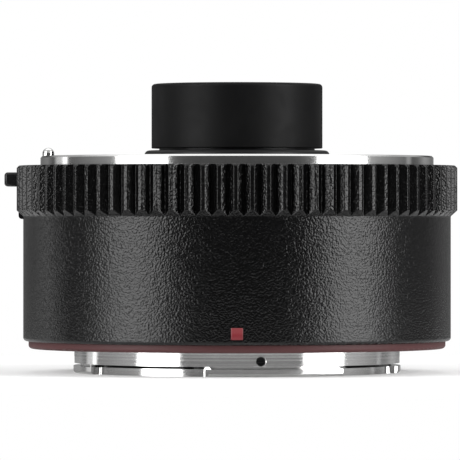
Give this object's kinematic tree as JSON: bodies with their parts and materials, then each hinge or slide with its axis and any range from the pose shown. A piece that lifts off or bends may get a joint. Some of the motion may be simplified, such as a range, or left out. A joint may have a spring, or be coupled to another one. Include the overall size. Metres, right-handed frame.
{
  "type": "camera teleconverter",
  "caption": "Short black barrel with a ribbed grip ring, chrome bayonet mounts on both ends, a protruding front optical cell, a sprung lock pin and a release tab.",
  "frame": {"origin": "on the optical axis, in the camera-side flange plane", "axes": "+Z along the optical axis towards the lens side, -Y towards the side with the red index, -X towards the lock pin and the release tab"},
  "size_m": [0.0764, 0.0742, 0.0486],
  "materials": {
    "mount_chrome": "satin turned chrome",
    "accent_red": "satin dark red",
    "barrel_black": "fine leather-grain black paint",
    "bezel_black": "smooth satin black",
    "index_red": "gloss red",
    "tab_black": "moulded satin black",
    "pin_steel": "polished",
    "spring_steel": "blank",
    "screw_steel": "nickel",
    "screw_black": "black oxide",
    "chassis_black": "matte black",
    "cell_black": "satin black anodised",
    "sleeve_black": "matte black",
    "shield_black": "light-trap matte",
    "block_black": "moulded",
    "contact_gold": "gold plated",
    "board_green": "solder mask",
    "chip_black": "moulded",
    "flex_amber": "film",
    "coated_glass": "coated"
  },
  "bodies": {
    "housing": {"accent_ring": "accent_red", "barrel_set_screws": "screw_black", "board_chips": "chip_black", "board_screws": "screw_steel", "camera_contact_block": "block_black", "camera_contact_pads": "contact_gold", "camera_contact_screws": "screw_black", "camera_mount": "mount_chrome", "camera_mount_screws": "screw_steel", "catch_spring_ring": "spring_steel", "chassis": "chassis_black", "front_cell": "cell_black", "front_cell_screws": "screw_black", "front_flex": "flex_amber", "front_retaining_ring": "cell_black", "front_spacer": "cell_black", "grip_ring": "barrel_black", "index_mark": "index_red", "lens_contact_block": "block_black", "lens_contact_screws": "screw_black", "lens_element_1": "coated_glass", "lens_element_2": "coated_glass", "lens_element_3": "coated_glass", "lens_element_4": "coated_glass", "lens_element_5": "coated_glass", "lens_element_6": "coated_glass", "lens_element_7": "coated_glass", "lens_element_8": "coated_glass", "lens_mount_ring": "mount_chrome", "lens_mount_screws": "screw_steel", "lens_mount_shim": "spring_steel", "lock_pin_spring": "spring_steel", "main_board": "board_green", "middle_retaining_ring": "cell_black", "outer_barrel": "barrel_black", "rear_baffle": "shield_black", "rear_baffle_screws": "screw_black", "rear_cell": "cell_black", "rear_flex": "flex_amber", "rear_retaining_ring": "cell_black", "rear_spacer": "cell_black", "release_bezel": "bezel_black", "snout_sleeve": "sleeve_black", "stop_screw": "screw_black", "throat_floor": "shield_black", "throat_floor_screws": "screw_black"},
    "release": {"release_slider": "spring_steel", "release_tab": "tab_black"},
    "lock_pin": {"lock_pin": "pin_steel"},
    "contact_pin_01": {"contact_pin_01": "contact_gold"},
    "contact_pin_02": {"contact_pin_02": "contact_gold"},
    "contact_pin_03": {"contact_pin_03": "contact_gold"},
    "contact_pin_04": {"contact_pin_04": "contact_gold"},
    "contact_pin_05": {"contact_pin_05": "contact_gold"},
    "contact_pin_06": {"contact_pin_06": "contact_gold"},
    "contact_pin_07": {"contact_pin_07": "contact_gold"},
    "contact_pin_08": {"contact_pin_08": "contact_gold"},
    "contact_pin_09": {"contact_pin_09": "contact_gold"},
    "contact_pin_10": {"contact_pin_10": "contact_gold"},
    "contact_pin_11": {"contact_pin_11": "contact_gold"}
  },
  "joints": [
    {"name": "release_turn", "type": "hinge", "parent": "housing", "child": "release", "pos_m": [0, 0, 0], "axis": [0, 0, -1], "range_deg": [0, 8], "stiffness_Nm_per_rad": 0.0323, "springref_deg": -27.6},
    {"name": "lock_pin_slide", "type": "slide", "parent": "housing", "child": "lock_pin", "axis": [0, 0, -1], "range_m": [0, 0.00145], "deforming": ["lock_pin_spring"]},
    {"name": "contact_pin_01_press", "type": "slide", "parent": "housing", "child": "contact_pin_01", "axis": [0, 0, -1], "range_m": [0, 0.0006], "stiffness_N_per_m": 200, "springref_m": -0.0015},
    {"name": "contact_pin_02_press", "type": "slide", "parent": "housing", "child": "contact_pin_02", "axis": [0, 0, -1], "range_m": [0, 0.0006], "stiffness_N_per_m": 200, "springref_m": -0.0015},
    {"name": "contact_pin_03_press", "type": "slide", "parent": "housing", "child": "contact_pin_03", "axis": [0, 0, -1], "range_m": [0, 0.0006], "stiffness_N_per_m": 200, "springref_m": -0.0015},
    {"name": "contact_pin_04_press", "type": "slide", "parent": "housing", "child": "contact_pin_04", "axis": [0, 0, -1], "range_m": [0, 0.0006], "stiffness_N_per_m": 200, "springref_m": -0.0015},
    {"name": "contact_pin_05_press", "type": "slide", "parent": "housing", "child": "contact_pin_05", "axis": [0, 0, -1], "range_m": [0, 0.0006], "stiffness_N_per_m": 200, "springref_m": -0.0015},
    {"name": "contact_pin_06_press", "type": "slide", "parent": "housing", "child": "contact_pin_06", "axis": [0, 0, -1], "range_m": [0, 0.0006], "stiffness_N_per_m": 200, "springref_m": -0.0015},
    {"name": "contact_pin_07_press", "type": "slide", "parent": "housing", "child": "contact_pin_07", "axis": [0, 0, -1], "range_m": [0, 0.0006], "stiffness_N_per_m": 200, "springref_m": -0.0015},
    {"name": "contact_pin_08_press", "type": "slide", "parent": "housing", "child": "contact_pin_08", "axis": [0, 0, -1], "range_m": [0, 0.0006], "stiffness_N_per_m": 200, "springref_m": -0.0015},
    {"name": "contact_pin_09_press", "type": "slide", "parent": "housing", "child": "contact_pin_09", "axis": [0, 0, -1], "range_m": [0, 0.0006], "stiffness_N_per_m": 200, "springref_m": -0.0015},
    {"name": "contact_pin_10_press", "type": "slide", "parent": "housing", "child": "contact_pin_10", "axis": [0, 0, -1], "range_m": [0, 0.0006], "stiffness_N_per_m": 200, "springref_m": -0.0015},
    {"name": "contact_pin_11_press", "type": "slide", "parent": "housing", "child": "contact_pin_11", "axis": [0, 0, -1], "range_m": [0, 0.0006], "stiffness_N_per_m": 200, "springref_m": -0.0015}
  ],
  "couplings": [
    {"joint": "lock_pin_slide", "follows": "release_turn", "m_per_rad": 0.01038}
  ]
}
